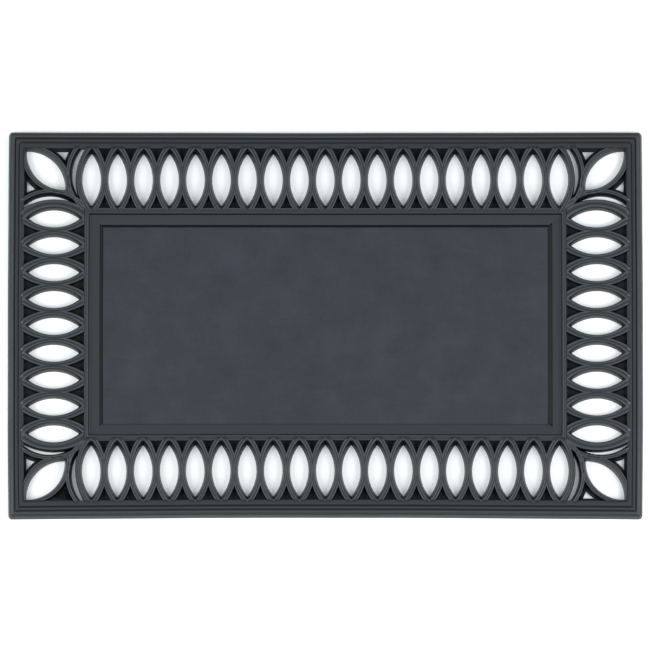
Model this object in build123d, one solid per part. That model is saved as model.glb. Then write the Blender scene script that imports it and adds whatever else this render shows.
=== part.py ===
"""Openwork rubber door mat tray with a recess for a loose insert mat.

The mat is one compression moulding. It is divided here along its natural borders: four mitred
rim rails, rows of lens-shaped rings, the blind pocket floors between them, a leaf and two arcs
in each corner, the raised inner rails, the ledge and the panel of the recess, and the studs
underneath. All sizes are in millimetres. +Z is up, +Y is the back edge, and the origin is the
middle of the underside.
"""
from build123d import *
from math import sqrt
import os

# ---- overall -------------------------------------------------------------------------------
LENGTH = 762.0          # along X, 30 in
WIDTH = 468.0           # along Y, without the extra width of the front and back rails
RIM = 19.0              # width of the left and right rim rails
RIM_EXTRA = 2.0         # how much wider the front and back rim rails are; overall 472 mm
LATTICE = 72.5          # width of the openwork border between the rim and the inner rails
CORNER = 66.0           # side of the corner blocks, inside the rim
RINGS_LONG = 19         # lens rings in the front and back rows
RINGS_SHORT = 9         # lens rings in the left and right columns

# ---- heights above the surface that the mat lies on ------------------------------------------
CREST = 12.0            # top of the rings, leaves and arcs
BAND = 10.2             # flat band of the rim
RIDGE = 11.0            # top of the inner rails
LEDGE = 6.5             # ledge that carries the edge of the insert
PANEL = 4.0             # top of the recess panel
POCKET = 4.5            # top of the pocket floors
SKIRT = 1.5             # underside of everything that the rails and studs carry

# ---- lens rings: each side is an arc, and the walls lean outwards as they rise ---------------
OPEN_RADIUS = 58.9      # arc of the opening at the crest
OPEN_HALF = 13.9        # half the opening's width at the crest
BODY_RADIUS = 70.0      # arc of the outside of the ring at the crest
BODY_HALF = 18.4        # half the ring's outside width at the crest
OPEN_DRAFT = 2.4        # how far an opening's wall leans in from crest to underside
BODY_DRAFT = 1.0        # how far a ring's outer wall leans out from crest to underside

# ---- corner leaf, on the diagonal of the corner, and the arcs that flank it ------------------
LEAF_CENTRE = 45.85     # from both outer edges
LEAF_OPEN_RADIUS = 50.2
LEAF_OPEN_HALF = 16.4
LEAF_BODY_RADIUS = 54.9
LEAF_BODY_HALF = 21.1
ARC_CENTRE = (127.3, 50.5)   # from the two outer edges, the far one first
ARC_INNER_RADIUS = 53.3
ARC_OUTER_RADIUS = 57.8
TRUNK = 21.5            # side of the square where both arcs run together to the inner rails
GUSSET = 6.5            # part of it, at the inner rails, that is solid right across
PUNCH_INSET = 3.4       # how far the hole in a corner pocket's floor stays inside its walls
POCKET_REACH = 50.0     # how far a corner pocket can reach from the outer edge
POCKET_START = 18.5     # distance from the outer edge at which it is widest, at the rim
CLOSED_POCKET = ("front_left", "row")   # the only corner pocket whose floor has no hole

# ---- frame around the recess ------------------------------------------------------------------
RIDGE_ROW = 7.5         # width of the front and back inner rails at their crest
RIDGE_COLUMN = 5.7      # width of the left and right inner rails at their crest
RIDGE_DRAFT = 0.8       # lean of the inner rails' wall above the ledge
LIP = 21.3              # from the inner rails' outer face to the recess panel
LIP_DRAFT = 1.8         # slope of the ledge's lip

# ---- studs underneath ---------------------------------------------------------------------------
STUD_RADIUS = 4.5
STUD_COLUMNS, STUD_ROWS = 10, 5
STUD_PITCH_X, STUD_PITCH_Y = 54.0, 50.0

# ---- rim section: (distance in from the outer edge, height) --------------------------------------
RIM_SECTION = [
    (0.0, 0.0), (0.0, 2.0), (0.8, 8.6), (2.0, 9.8), (5.4, 11.2), (6.6, 11.0), (7.8, 9.2),
    (9.0, 10.6), (11.2, 10.6), (12.6, 9.0), (13.6, BAND), (RIM, BAND), (RIM, 0.0),
]
OUTER_CORNER_RADIUS = 5.0

PITCH_LONG = (LENGTH - 2 * (RIM + CORNER)) / RINGS_LONG
PITCH_SHORT = (WIDTH - 2 * (RIM + CORNER)) / RINGS_SHORT
FRAME_INSET = RIM + LATTICE
INNER_LENGTH = LENGTH - 2 * FRAME_INSET
INNER_WIDTH = WIDTH - 2 * FRAME_INSET
LATTICE_MIDDLE = RIM + LATTICE / 2
OVER = 2.0              # how far a cutting tool runs past what it cuts
SWAP = Plane(origin=(0, 0, 0), x_dir=(0, 0, 1), z_dir=(1, -1, 0))   # mirror that swaps X and Y


def block(x0, x1, y0, y1, z0, z1):
    """Box between two opposite corners."""
    middle = Pos((x0 + x1) / 2, (y0 + y1) / 2, (z0 + z1) / 2)
    return middle * Box(x1 - x0, y1 - y0, z1 - z0)


def prism(points, z0, z1):
    """Upright prism on a closed polygon."""
    return Pos(0, 0, z0) * extrude(make_face(Polyline(*points, close=True)), z1 - z0)


def drafted_disc(centre, radius, draft, z0, z1):
    """Cone frustum whose radius is the given one at the crest and grows by draft down to the skirt."""
    slope = draft / (CREST - SKIRT)
    low = radius + slope * (CREST - z0)
    high = radius + slope * (CREST - z1)
    return Pos(centre[0], centre[1], (z0 + z1) / 2) * Cone(low, high, z1 - z0)


def lens(half, radius, draft, z0, z1):
    """Lens along Y at the origin: what two facing drafted discs share."""
    offset = radius - half
    left = drafted_disc((-offset, 0), radius, draft, z0, z1)
    right = drafted_disc((offset, 0), radius, draft, z0, z1)
    return left & right


def rows_of_solids(shape):
    """The separate solids of a result, whatever it came out as."""
    return list(shape.solids())


def save(name, solids):
    """Write one node as one STEP file."""
    shape = solids[0] if len(solids) == 1 else Compound(children=list(solids))
    export_step(shape, f"parts/{name}.step")


# ---- mitred frames ----------------------------------------------------------------------------
def mitred_rail(section, length, inset_y, depth_x, depth_y):
    """Front rail of a rectangular frame: a section run along X, cut to the frame's mitres.

    The section's points are (distance in from the frame's outer face, height).
    """
    face = make_face(Polyline(*[(0, -inset_y + d, z) for d, z in section], close=True))
    bar = Pos(-length / 2, 0, 0) * extrude(face, length, dir=(1, 0, 0))
    trapezium = [
        (-length / 2, -inset_y), (length / 2, -inset_y),
        (length / 2 - depth_x, -inset_y + depth_y), (-length / 2 + depth_x, -inset_y + depth_y),
    ]
    return bar & prism(trapezium, -OVER, CREST + OVER)


def frame(sections, length, width, depth_x, depth_y):
    """The four rails of a frame by side; sections gives the row's and the column's section."""
    row = mitred_rail(sections[0], length, width / 2, depth_x, depth_y)
    column = mitred_rail(sections[1], width, length / 2, depth_y, depth_x)
    return {
        "front": row,
        "right": Rot(0, 0, 90) * column,
        "back": Rot(0, 0, 180) * row,
        "left": Rot(0, 0, -90) * column,
    }


def make_rim():
    """Outer rails, with the mat's outside corners rounded."""
    depth = RIM + RIM_EXTRA
    width = WIDTH + 2 * RIM_EXTRA
    wide_section = [(d * depth / RIM, z) for d, z in RIM_SECTION]
    outline = extrude(RectangleRounded(LENGTH, width, OUTER_CORNER_RADIUS), CREST + OVER)
    rails = frame((wide_section, RIM_SECTION), LENGTH, width, RIM, depth)
    for side, rail in rails.items():
        save(f"rim_rail_{side}", rows_of_solids(rail & outline))


def ridge_section(width):
    """Section of an inner rail: flat crest and a wall that leans out to the ledge."""
    return [
        (0, 0), (0, BAND), (0.8, RIDGE), (width - 0.8, RIDGE), (width, RIDGE - 0.8),
        (width + RIDGE_DRAFT, LEDGE), (width + RIDGE_DRAFT, 0),
    ]


def ledge_section(width):
    """Section of the ledge: flat top and a lip that slopes to the panel."""
    return [(0, SKIRT), (0, LEDGE), (width - LIP_DRAFT, LEDGE), (width, PANEL), (width, SKIRT)]


def make_recess():
    """Inner rails, ledge strips and the recess panel."""
    rail_x, rail_y = RIDGE_COLUMN + RIDGE_DRAFT, RIDGE_ROW + RIDGE_DRAFT
    sections = (ridge_section(RIDGE_ROW), ridge_section(RIDGE_COLUMN))
    for side, rail in frame(sections, INNER_LENGTH, INNER_WIDTH, rail_x, rail_y).items():
        save(f"inner_rail_{side}", rows_of_solids(rail))
    length, width = INNER_LENGTH - 2 * rail_x, INNER_WIDTH - 2 * rail_y
    ledge_x, ledge_y = LIP - rail_x, LIP - rail_y
    sections = (ledge_section(ledge_y), ledge_section(ledge_x))
    for side, strip in frame(sections, length, width, ledge_x, ledge_y).items():
        save(f"insert_ledge_{side}", rows_of_solids(strip))
    half_x, half_y = INNER_LENGTH / 2 - LIP, INNER_WIDTH / 2 - LIP
    save("recess_panel", [block(-half_x, half_x, -half_y, half_y, SKIRT, PANEL)])


def make_studs():
    """Round studs that carry the recess panel."""
    stud = Pos(0, 0, SKIRT / 2) * Cylinder(STUD_RADIUS, SKIRT)
    places = GridLocations(STUD_PITCH_X, STUD_PITCH_Y, STUD_COLUMNS, STUD_ROWS)
    save("grip_studs", [place * stud for place in places])


# ---- rows of lens rings -----------------------------------------------------------------------
def ring_body(z0=SKIRT, z1=CREST):
    """Outside of a lens ring along Y, before it is cut to its cell."""
    return lens(BODY_HALF, BODY_RADIUS, BODY_DRAFT, z0, z1)


def lens_ring(left, right):
    """Ring along Y, cut to the lattice's width and to left and right of its middle."""
    half = LATTICE / 2
    cell = block(-left, right, -half, half, SKIRT, CREST)
    opening = lens(OPEN_HALF, OPEN_RADIUS, -OPEN_DRAFT, SKIRT - OVER, CREST + OVER)
    return (ring_body() & cell) - opening


def pocket_floors(pitch):
    """The two blind floors between one pair of rings, one at each side of the lattice."""
    half = LATTICE / 2
    slab = block(-pitch / 2, pitch / 2, -half, half, SKIRT, POCKET)
    body = ring_body(SKIRT - OVER, POCKET + OVER)
    return rows_of_solids(slab - Pos(-pitch / 2, 0, 0) * body - Pos(pitch / 2, 0, 0) * body)


def make_row(names, pitch, count, places):
    """Rings and pocket floors of two opposite sides, made as a row along X and moved to each side."""
    free = BODY_HALF + BODY_DRAFT + OVER
    first, inner, last = lens_ring(free, pitch / 2), lens_ring(pitch / 2, pitch / 2), lens_ring(pitch / 2, free)
    start = -pitch * (count - 1) / 2
    rings = []
    for k in range(count):
        ring = first if k == 0 else last if k == count - 1 else inner
        rings.append(Pos(start + pitch * k, 0, 0) * ring)
    floors = []
    for k in range(count - 1):
        floors += [Pos(start + pitch * (k + 0.5), 0, 0) * floor for floor in pocket_floors(pitch)]
    for name, place in zip(names, places):
        save(f"lens_rings_{name}", [place * ring for ring in rings])
        save(f"pocket_floors_{name}", [place * floor for floor in floors])


def make_rows():
    """Front and back rows, and left and right columns."""
    y = WIDTH / 2 - LATTICE_MIDDLE
    x = LENGTH / 2 - LATTICE_MIDDLE
    make_row(("front", "back"), PITCH_LONG, RINGS_LONG, (Pos(0, -y, 0), Pos(0, y, 0)))
    turn = Rot(0, 0, 90)
    make_row(("left", "right"), PITCH_SHORT, RINGS_SHORT, (Pos(-x, 0, 0) * turn, Pos(x, 0, 0) * turn))


# ---- corners: built at the front left, with X and Y counted in from the outer edges -----------
def on_diagonal(shape):
    """Turn a lens along Y to the corner's diagonal and centre it on the leaf."""
    return Pos(LEAF_CENTRE, LEAF_CENTRE, 0) * Rot(0, 0, -45) * shape


def leaf_body(grow=0.0, z0=SKIRT, z1=CREST):
    """Outside of the corner leaf, optionally grown all round."""
    return on_diagonal(lens(LEAF_BODY_HALF + grow, LEAF_BODY_RADIUS + grow, BODY_DRAFT, z0, z1))


def leaf_opening():
    """Tool that cuts the leaf's opening."""
    return on_diagonal(lens(LEAF_OPEN_HALF, LEAF_OPEN_RADIUS, -OPEN_DRAFT, SKIRT - OVER, CREST + OVER))


def corner_square(side):
    """Square block at the inner rails' corner."""
    start = FRAME_INSET - side
    return block(start, FRAME_INSET, start, FRAME_INSET, SKIRT, CREST)


def crescent():
    """Tool that cuts the crescent between an arc and the first ring."""
    return drafted_disc(ARC_CENTRE, ARC_INNER_RADIUS, -OPEN_DRAFT, SKIRT - OVER, CREST + OVER)


def corner_arc(own_pitch, other_pitch):
    """Arc between the leaf and the first ring of one run, down to the inner rails' corner.

    It stays clear of the first ring of its own run and of the other run.
    """
    outer = drafted_disc(ARC_CENTRE, ARC_OUTER_RADIUS, BODY_DRAFT, SKIRT, CREST)
    half_corner = [(RIM, RIM), (FRAME_INSET, RIM), (FRAME_INSET, FRAME_INSET)]
    band = (outer + corner_square(TRUNK)) - crescent() + corner_square(GUSSET)
    ring = ring_body(SKIRT - OVER, CREST + OVER)
    own = Pos(RIM + CORNER + own_pitch / 2, LATTICE_MIDDLE, 0) * ring
    other = Pos(LATTICE_MIDDLE, RIM + CORNER + other_pitch / 2, 0) * Rot(0, 0, 90) * ring
    solids = rows_of_solids((band & prism(half_corner, SKIRT, CREST)) - own - other - leaf_opening())
    return max(solids, key=lambda solid: solid.volume)


def corner_leaf(arcs):
    """Leaf-shaped ring on the diagonal, between the corner of the rim and the arcs."""
    room = block(RIM, FRAME_INSET, RIM, FRAME_INSET, SKIRT, CREST)
    ring = (leaf_body() & room) - leaf_opening()
    for arc, gap in zip(arcs, (crescent(), mirror(crescent(), about=SWAP))):
        ring = ring - arc - gap
    return max(rows_of_solids(ring), key=lambda solid: solid.volume)


def corner_pocket(inset, z0, z1):
    """Three-sided pocket between the leaf, the arc and the rim, kept inset from its walls."""
    drop = ARC_CENTRE[1] - POCKET_START
    far = ARC_CENTRE[0] - sqrt(ARC_OUTER_RADIUS**2 - drop**2)
    room = block(RIM + inset, far, RIM + inset, POCKET_REACH, z0, z1)
    arc = drafted_disc(ARC_CENTRE, ARC_OUTER_RADIUS + inset, BODY_DRAFT, z0 - OVER, z1 + OVER)
    left = room - leaf_body(inset, z0 - OVER, z1 + OVER) - arc
    return max(rows_of_solids(left), key=lambda solid: solid.center().X)


def corner_floor(closed):
    """Floor of a corner pocket, punched through unless it is closed."""
    floor = corner_pocket(0.0, SKIRT, POCKET)
    if not closed:
        floor = floor - corner_pocket(PUNCH_INSET, SKIRT - OVER, POCKET + OVER)
    return floor


def make_corners():
    """Leaf, two arcs and two pocket floors of each corner."""
    corners = {
        "front_left": (1, 1), "front_right": (-1, 1), "back_left": (1, -1), "back_right": (-1, -1),
    }
    arcs = {
        "row": corner_arc(PITCH_LONG, PITCH_SHORT),
        "column": mirror(corner_arc(PITCH_SHORT, PITCH_LONG), about=SWAP),
    }
    leaf = corner_leaf(arcs.values())
    floors = {closed: corner_floor(closed) for closed in (False, True)}
    for corner, (sx, sy) in corners.items():
        def place(shape):
            moved = shape if sx > 0 else mirror(shape, about=Plane.YZ)
            moved = moved if sy > 0 else mirror(moved, about=Plane.XZ)
            return Pos(-sx * LENGTH / 2, -sy * WIDTH / 2, 0) * moved

        save(f"corner_leaf_{corner}", rows_of_solids(place(leaf)))
        pockets = []
        for run in ("row", "column"):
            save(f"corner_arc_{corner}_{run}", rows_of_solids(place(arcs[run])))
            floor = floors[(corner, run) == CLOSED_POCKET]
            floor = floor if run == "row" else mirror(floor, about=SWAP)
            pockets += rows_of_solids(place(floor))
        save(f"corner_pockets_{corner}", pockets)


os.makedirs("parts", exist_ok=True)
make_rim()
make_rows()
make_corners()
make_recess()
make_studs()
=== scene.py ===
"""Openwork rubber door mat tray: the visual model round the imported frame.

The mat is one compression moulding in dark rubber. Every class below makes one part of it: the
stepped outer rim, the rows of lens-shaped rings, the corner leaves and arcs, the blind pocket
floors, the recess with its rails, ledge and panel, and the studs underneath. Sizes in the classes
are millimetres; meshes are made in metres.
"""
import sys
import logging
import math
from dataclasses import dataclass, field, replace
from enum import Enum

import bmesh
import bpy
from mathutils import Matrix, Vector


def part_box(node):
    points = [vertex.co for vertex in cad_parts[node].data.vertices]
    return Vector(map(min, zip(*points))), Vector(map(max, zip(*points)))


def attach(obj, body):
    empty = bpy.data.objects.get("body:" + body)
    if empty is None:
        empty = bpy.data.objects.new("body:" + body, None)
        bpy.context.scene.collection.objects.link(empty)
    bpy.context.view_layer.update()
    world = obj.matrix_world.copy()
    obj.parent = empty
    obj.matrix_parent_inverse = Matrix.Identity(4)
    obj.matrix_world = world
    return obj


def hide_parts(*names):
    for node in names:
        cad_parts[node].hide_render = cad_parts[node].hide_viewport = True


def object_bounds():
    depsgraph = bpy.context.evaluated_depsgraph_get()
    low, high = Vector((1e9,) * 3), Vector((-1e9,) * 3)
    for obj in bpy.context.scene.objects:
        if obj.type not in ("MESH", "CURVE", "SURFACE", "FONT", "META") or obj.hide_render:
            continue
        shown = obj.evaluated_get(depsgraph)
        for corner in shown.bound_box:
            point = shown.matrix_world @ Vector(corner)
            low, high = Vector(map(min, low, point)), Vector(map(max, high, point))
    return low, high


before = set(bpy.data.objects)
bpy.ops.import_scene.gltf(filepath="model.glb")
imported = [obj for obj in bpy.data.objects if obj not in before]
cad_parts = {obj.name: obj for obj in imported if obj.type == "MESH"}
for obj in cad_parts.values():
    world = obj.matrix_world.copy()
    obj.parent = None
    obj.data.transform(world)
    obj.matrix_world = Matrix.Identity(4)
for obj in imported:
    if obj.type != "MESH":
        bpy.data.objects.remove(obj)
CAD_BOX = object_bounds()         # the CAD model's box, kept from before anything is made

MM = 0.001                    # metres in a millimetre
WELD = 0.00001                # metres within which neighbouring points become one
HAIR = 1e-6                   # anything smaller counts as nothing
SHARP = 38.0                  # degrees of turn above which an edge stays sharp
LONGEST_ROUNDING = 0.46       # share of an edge that one of its roundings may take
BODY = "root"                 # the mat has no joints, so everything rides on its only body
LOG = logging.getLogger("door_mat")

Pair = tuple[float, float]
Point = tuple[float, float, float]
Section = list[Pair]
Face = tuple[int, ...]
Shell = tuple[list[Point], list[Face]]


class Spot(Enum):
    """Place on the mat that the frame's nodes are named after."""

    @property
    def label(self) -> str:
        """Name of the place as the nodes spell it."""
        return self.name.lower()


class Side(Spot):
    """Side of the mat, with the turn in degrees that takes the back side to it."""

    BACK = 0
    LEFT = 90
    FRONT = 180
    RIGHT = 270

    @property
    def is_row(self) -> bool:
        """True for the two long sides."""
        return self in (Side.BACK, Side.FRONT)


class Corner(Spot):
    """Corner of the mat, as the signs that take the front left corner to it."""

    FRONT_LEFT = (1, 1)
    FRONT_RIGHT = (-1, 1)
    BACK_LEFT = (1, -1)
    BACK_RIGHT = (-1, -1)


class Slot(Enum):
    """Material slots of the record."""

    RIM = "rim_rubber"
    OPENWORK = "openwork_rubber"
    POCKET = "pocket_rubber"
    INNER_RAIL = "inner_rail_rubber"
    LEDGE = "ledge_rubber"
    PANEL = "panel_rubber"
    STUD = "stud_rubber"


# ---- small tools --------------------------------------------------------------------------------
def linear(hex_colour: str) -> tuple[float, float, float, float]:
    """Turn an sRGB hex colour into the linear one that a shader takes.

    Args:
        hex_colour: six hex digits after a hash sign.

    Returns:
        Red, green, blue and a full alpha.
    """
    parts = [int(hex_colour[k:k + 2], 16) / 255 for k in (1, 3, 5)]
    values = [p / 12.92 if p <= 0.04045 else ((p + 0.055) / 1.055) ** 2.4 for p in parts]
    return (values[0], values[1], values[2], 1.0)


def add_node(tree: bpy.types.NodeTree, kind: str, inputs: dict | tuple = (),
             **settings: object) -> bpy.types.Node:
    """Add a node with its settings, its input values and its links.

    Args:
        tree: the tree that gets the node.
        kind: the node's type name.
        inputs: a value, an output socket or a node, whose first output counts, for each input,
            in order or by the input's name or number.
        settings: properties of the node.

    Returns:
        The new node.
    """
    made = tree.nodes.new(kind)
    for key, value in settings.items():
        setattr(made, key, value)
    for key, value in (inputs if isinstance(inputs, dict) else dict(enumerate(inputs))).items():
        if isinstance(value, bpy.types.Node):
            value = value.outputs[0]
        if isinstance(value, bpy.types.NodeSocket):
            tree.links.new(value, made.inputs[key])
        else:
            made.inputs[key].default_value = value
    return made


def smooth_step(low: float, high: float, value: float) -> float:
    """Ease from 0 where the value is at low to 1 where it is at high."""
    t = min(max((value - low) / (high - low), 0.0), 1.0)
    return t * t * (3 - 2 * t)


def sinking(past: float, slope: float, ease: float) -> float:
    """How far a band has sunk where it is past a border: gently within the ease, then by the slope."""
    return slope * past * past / (past + ease) if past > 0 else 0.0


def rounded_section(corners: list[Point], steps: int = 3) -> Section:
    """Round the corners of a closed section.

    Args:
        corners: (distance, height, radius) of each corner.
        steps: straight pieces in each rounding.

    Returns:
        The section's points as (distance, height).
    """
    points = []
    for k, (x, z, radius) in enumerate(corners):
        if radius <= 0:
            points.append((x, z))
            continue
        before = Vector(corners[k - 1][:2]) - Vector((x, z))
        after = Vector(corners[(k + 1) % len(corners)][:2]) - Vector((x, z))
        half = before.angle(after) / 2
        reach = min(radius / math.tan(half), LONGEST_ROUNDING * before.length,
                    LONGEST_ROUNDING * after.length)
        start = Vector((x, z)) + before.normalized() * reach
        end = Vector((x, z)) + after.normalized() * reach
        for step in range(steps + 1):
            t = step / steps
            spot = (1 - t) ** 2 * start + 2 * t * (1 - t) * Vector((x, z)) + t * t * end
            points.append((spot.x, spot.y))
    return points


def mesh_object(name: str, points: list[Point], faces: list[Face]) -> bpy.types.Object:
    """Make a welded mesh object whose faces point outwards.

    Args:
        name: name of the object and its mesh.
        points: places in millimetres.
        faces: point numbers of each face.

    Returns:
        The object, not yet in the scene.
    """
    mesh = bpy.data.meshes.new(name)
    mesh.from_pydata([(x * MM, y * MM, z * MM) for x, y, z in points], [], faces)
    tidy_mesh(mesh)
    return bpy.data.objects.new(name, mesh)


def tidy_mesh(mesh: bpy.types.Mesh) -> None:
    """Weld a mesh, drop collapsed faces, point its faces outwards and smooth it.

    Args:
        mesh: the mesh to clean.
    """
    work = bmesh.new()
    work.from_mesh(mesh)
    bmesh.ops.remove_doubles(work, verts=work.verts, dist=WELD)
    bmesh.ops.dissolve_degenerate(work, edges=work.edges, dist=WELD / 2)
    bmesh.ops.recalc_face_normals(work, faces=work.faces)
    work.to_mesh(mesh)
    work.free()
    mesh.shade_smooth()
    mesh.set_sharp_from_angle(angle=math.radians(SHARP))
    mesh.update()


def band_between(first: list[int], second: list[int], closed: bool) -> list[Face]:
    """Faces between two rows of points.

    Args:
        first: point numbers of one row.
        second: point numbers of the next row.
        closed: joins the last point to the first.

    Returns:
        The faces.
    """
    count = len(first)
    last = count if closed else count - 1
    return [(first[k], first[(k + 1) % count], second[(k + 1) % count], second[k])
            for k in range(last)]


def skin(rows: list[list[int]], closed: bool) -> list[Face]:
    """Faces between each row of points and the next, with every row closed or open."""
    return [face for a, b in zip(rows, rows[1:]) for face in band_between(a, b, closed)]


# ---- layout -------------------------------------------------------------------------------------
@dataclass(frozen=True)
class MatLayout:
    """Where the mat's borders lie, read from the frame, in millimetres; pairs are (X, Y)."""

    half: Pair
    crest: float
    rim: Pair
    lattice: float
    rail: Pair
    ledge: Pair

    @classmethod
    def from_frame(cls) -> "MatLayout":
        """Read the borders from the boxes of the CAD model and its nodes.

        Returns:
            The layout.
        """
        def widths(part: str) -> Pair:
            """Widths of a part's right and back pieces."""
            boxes = (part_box(f"{part}_right"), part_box(f"{part}_back"))
            return tuple((high[axis] - low[axis]) / MM for axis, (low, high) in enumerate(boxes))

        half_length, half_width, crest = (size / MM for size in CAD_BOX[1])
        return cls((half_length, half_width), crest, rim=widths("rim_rail"),
                   lattice=widths("lens_rings")[1], rail=widths("inner_rail"),
                   ledge=widths("insert_ledge"))

    @property
    def recess(self) -> Pair:
        """Half the length and width between the inner rails' outer faces."""
        return tuple(half - rim - self.lattice for half, rim in zip(self.half, self.rim))


@dataclass(frozen=True)
class Lie:
    """How the soft rubber lies: the sides draw in a little between the corners, never out."""

    layout: MatLayout
    front_in: float = 2.1      # the front edge's middle
    back_in: float = 0.5       # the back edge's middle
    ends_in: float = 1.2       # the corners, along the length
    waver: float = 0.15        # slow unevenness of the edges

    def moved(self, spot: Vector) -> Vector:
        """Where a point of the perfect mat lies.

        Args:
            spot: the point in metres.

        Returns:
            The point in metres.
        """
        x, y = spot.x / MM, spot.y / MM
        u, v = x / self.layout.half[0], y / self.layout.half[1]
        back, front = max(v, 0.0) ** 1.5, max(-v, 0.0) ** 1.5
        belly = 1 - u * u
        # slow waves of unlike lengths, which never line up along an edge
        wave_x = 0.5 * math.sin(y / 61 + 0.7) + 0.5 * math.sin(y / 27 + x / 140)
        wave_y = 0.5 * math.sin(x / 83 + 1.9) + 0.5 * math.sin(x / 37 + y / 120 + 0.4)
        dx = -u * (self.ends_in * v * v + self.waver * (1 + wave_x))
        dy = front * self.front_in * belly - back * self.back_in * belly
        dy -= v * self.waver * (1 + wave_y)
        return Vector(((x + dx) * MM, (y + dy) * MM, spot.z))

    def settle(self, piece: bpy.types.Object) -> None:
        """Lay a finished mesh as the rubber lies.

        Args:
            piece: the object whose mesh is moved.
        """
        for vertex in piece.data.vertices:
            vertex.co = self.moved(vertex.co)
        piece.data.update()


# ---- finishes -----------------------------------------------------------------------------------
@dataclass(frozen=True)
class RubberFinish:
    """Compression-moulded SBR rubber, cured black and greyed by bloom and handling.

    The eye sees a dull, faintly blue dark grey: a broad soft sheen, a fine pebbled grain from the
    blasted mould, slow cloudy patches of bloom, and high edges painted paler, partly as rubbed wear
    and partly as painted highlight. Walls, grooves and other low parts are painted darker as painted
    shade, and on some parts also lose sheen as painted shade.
    """

    name: str
    base: str                    # cured rubber
    bloom: str                   # paler cloudy patches
    rubbed: str                  # high edges, rubbed pale and painted as highlight; also the wiping lines
    deep: str = "#0E1011"        # painted shade on walls and grooves, darkest low down
    deep_low: float = 5.0        # mm, height below which the painted shade is at its full share
    deep_high: float = 11.4
    deep_share: float = 0.8
    roughness: float = 0.5
    swing: float = 0.08          # how far bloom and specks take the roughness either way
    grain: float = 0.9           # mm between grains; the real 0.3 mm grit is too fine to show
    grain_depth: float = 0.045   # mm
    cloud: float = 38.0          # mm across a patch of bloom
    speck: float = 2.4           # mm across a speck on it
    speck_share: float = 0.45
    bloom_low: float = 0.52      # cloudiness at which bloom starts
    bloom_high: float = 0.98     # and at which it is full
    bloom_share: float = 0.5
    rub_low: float = 11.68       # mm, height at which the paler edges start: rubbed wear and painted highlight
    rub_high: float = 11.98
    rub_share: float = 0.8
    streak: float = 0.0          # share of fine lines left by wiping, along the length
    streak_size: Point = (45.0, 1.6, 8.0)    # mm along, across and down
    specular: float = 0.5
    dull: float = 1.0            # share of the sheen that is left in the depths, cut as painted shade
    polish: float = 1.0          # share of the roughness on walls, which the mould leaves smoother

    def material(self) -> bpy.types.Material:
        """Build the material.

        Returns:
            A material on Object coordinates.
        """
        material = bpy.data.materials.new(self.name)
        material.use_nodes = True
        tree = material.node_tree
        tree.nodes.clear()
        place = add_node(tree, "ShaderNodeTexCoord").outputs["Object"]
        height = add_node(tree, "ShaderNodeSeparateXYZ", (place,)).outputs["Z"]
        clouds = add_node(tree, "ShaderNodeTexNoise", {
            "Vector": place, "Scale": 1 / (self.cloud * MM), "Detail": 5.0, "Roughness": 0.62})
        specks = add_node(tree, "ShaderNodeTexNoise", {
            "Vector": place, "Scale": 1 / (self.speck * MM), "Detail": 4.0, "Roughness": 0.7})
        grain = add_node(tree, "ShaderNodeTexVoronoi", {
            "Vector": place, "Scale": 1 / (self.grain * MM), "Smoothness": 0.6}, feature="SMOOTH_F1")
        mottle = add_node(tree, "ShaderNodeMath", (specks, self.speck_share, clouds),
                          operation="MULTIPLY_ADD")
        patch = add_node(tree, "ShaderNodeMapRange", (
            mottle, self.bloom_low, self.bloom_high, 0.0, self.bloom_share))
        colour = self._mixed(tree, patch, linear(self.base), self.bloom)
        if self.streak > 0:
            colour = self._wiped(tree, place, colour)
        # painted shade: the lower the surface, the more of the dark colour, standing in for the shade in
        # walls, grooves and hollows
        sunk = add_node(tree, "ShaderNodeMapRange", (
            height, self.deep_low * MM, self.deep_high * MM, self.deep_share, 0.0))
        colour = self._mixed(tree, sunk, colour, self.deep)
        # paler high edges, patchy with the mottle: partly rubbed wear, partly painted highlight
        edge = add_node(tree, "ShaderNodeMapRange", (
            height, self.rub_low * MM, self.rub_high * MM, 0.0, self.rub_share),
            interpolation_type="SMOOTHSTEP")
        wear_highlight_mask = add_node(tree, "ShaderNodeMath", (edge, mottle), operation="MULTIPLY")
        colour = self._mixed(tree, wear_highlight_mask, colour, self.rubbed)
        rough = add_node(tree, "ShaderNodeMapRange", (
            mottle, 0.4, 1.0, self.roughness + self.swing, self.roughness - self.swing))
        if self.polish < 1.0:
            walls = add_node(tree, "ShaderNodeMapRange", (
                height, (self.deep_high - 0.8) * MM, self.deep_high * MM, self.polish, 1.0))
            rough = add_node(tree, "ShaderNodeMath", (walls, rough), operation="MULTIPLY")
        sheen = self.specular
        # painted shade: the depths lose some of their sheen
        if self.dull < 1.0:
            sheen = add_node(tree, "ShaderNodeMapRange", (
                height, self.deep_low * MM, self.deep_high * MM, sheen * self.dull, sheen))
        relief = add_node(tree, "ShaderNodeMath", (specks, 0.5, grain), operation="MULTIPLY_ADD")
        bump = add_node(tree, "ShaderNodeBump", {
            "Strength": 0.55, "Distance": self.grain_depth * MM, "Height": relief})
        shader = add_node(tree, "ShaderNodeBsdfPrincipled", {
            "Base Color": colour, "Roughness": rough, "Normal": bump, "Specular IOR Level": sheen,
            "IOR": 1.5, "Metallic": 0.0})
        add_node(tree, "ShaderNodeOutputMaterial", {"Surface": shader})
        return material

    @staticmethod
    def _mixed(tree: bpy.types.NodeTree, share: bpy.types.Node, under: bpy.types.NodeSocket | Point,
               over: str) -> bpy.types.NodeSocket:
        """Lay a hex colour over a colour by a share, and give the mixture's socket."""
        return add_node(tree, "ShaderNodeMix", {0: share, 6: under, 7: linear(over)},
                        data_type="RGBA").outputs[2]

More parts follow.
